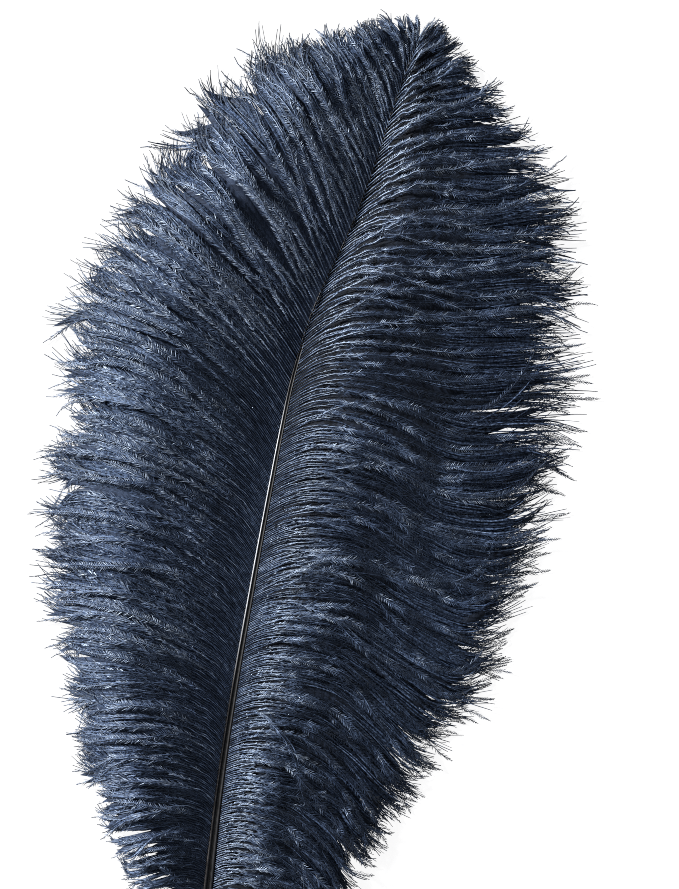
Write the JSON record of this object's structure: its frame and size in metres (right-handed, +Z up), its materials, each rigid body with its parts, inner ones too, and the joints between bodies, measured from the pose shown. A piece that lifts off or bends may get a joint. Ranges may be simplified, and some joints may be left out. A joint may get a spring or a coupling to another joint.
{
  "type": "ostrich feather",
  "caption": "Dyed ostrich plume lying on a surface: a bowed, grooved shaft with a bare quill and two wide soft vanes parted into curling locks.",
  "frame": {"origin": "middle of the plume's box in plan, on the surface that it lies on", "axes": "+Z up from that surface, the grooved side of the shaft facing it; +Y along the shaft from the quill to the tip; +X towards the wider vane"},
  "size_m": [0.2396, 0.4688, 0.0226],
  "materials": {
    "barbs": "navy-dyed barbs with fine barbules, soft satin glints along each barb",
    "shaft": "dyed keratin shaft, near black brown with a pale worn line along the groove's edge"
  },
  "bodies": {
    "root": {"feather": "barbs"}
  },
  "joints": []
}
